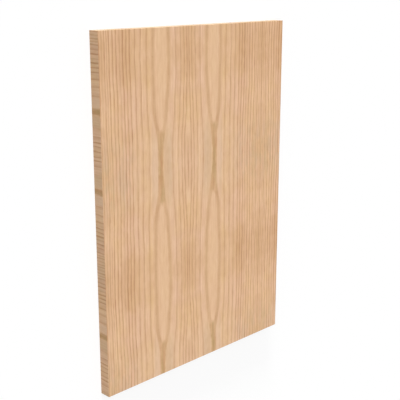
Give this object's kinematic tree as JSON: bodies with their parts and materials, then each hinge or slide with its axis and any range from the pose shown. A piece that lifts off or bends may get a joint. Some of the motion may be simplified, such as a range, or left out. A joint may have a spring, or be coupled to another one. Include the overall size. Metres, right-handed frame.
{
  "type": "plywood sheet",
  "caption": "Rectangular sheet of pine-faced plywood, cut square, with finely eased edges and narrow sides faced flush.",
  "frame": {"origin": "middle of the sheet's back, on the surface that it lies on", "axes": "+X across the face grain, +Y along the face grain (the long side), +Z out of the front face, up as the sheet lies on its back"},
  "size_m": [0.5, 0.7, 0.024],
  "materials": {
    "pine_veneer": "matte"
  },
  "bodies": {
    "root": {"plywood_sheet": "pine_veneer"}
  },
  "joints": []
}
